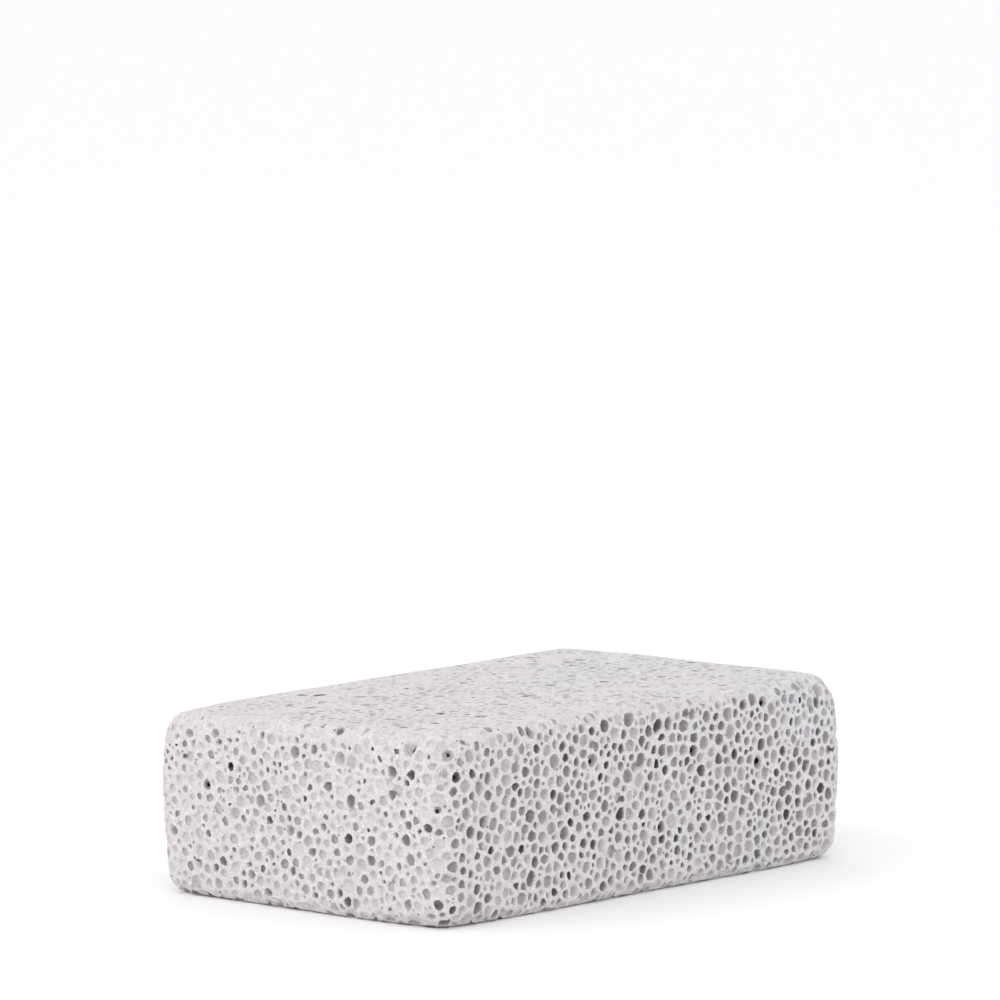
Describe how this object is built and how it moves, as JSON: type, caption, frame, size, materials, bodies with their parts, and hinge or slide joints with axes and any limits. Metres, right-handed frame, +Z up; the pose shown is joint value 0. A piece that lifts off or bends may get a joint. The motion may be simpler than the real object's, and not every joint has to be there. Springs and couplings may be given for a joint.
{
  "type": "pumice stone",
  "caption": "Hand-sized slab of pumice, sawn square, with worn edges and open bubbles over every face, for rubbing hard skin.",
  "frame": {"origin": "under the middle of the slab, on the surface that it lies on", "axes": "+X along the slab's length, +Y along its width, +Z up through its thickness"},
  "size_m": [0.1, 0.0602, 0.0301],
  "materials": {
    "pumice": "rough, open-pored, chalky pale grey with a faint pink cast"
  },
  "bodies": {
    "root": {"pumice_stone": "pumice"}
  },
  "joints": []
}
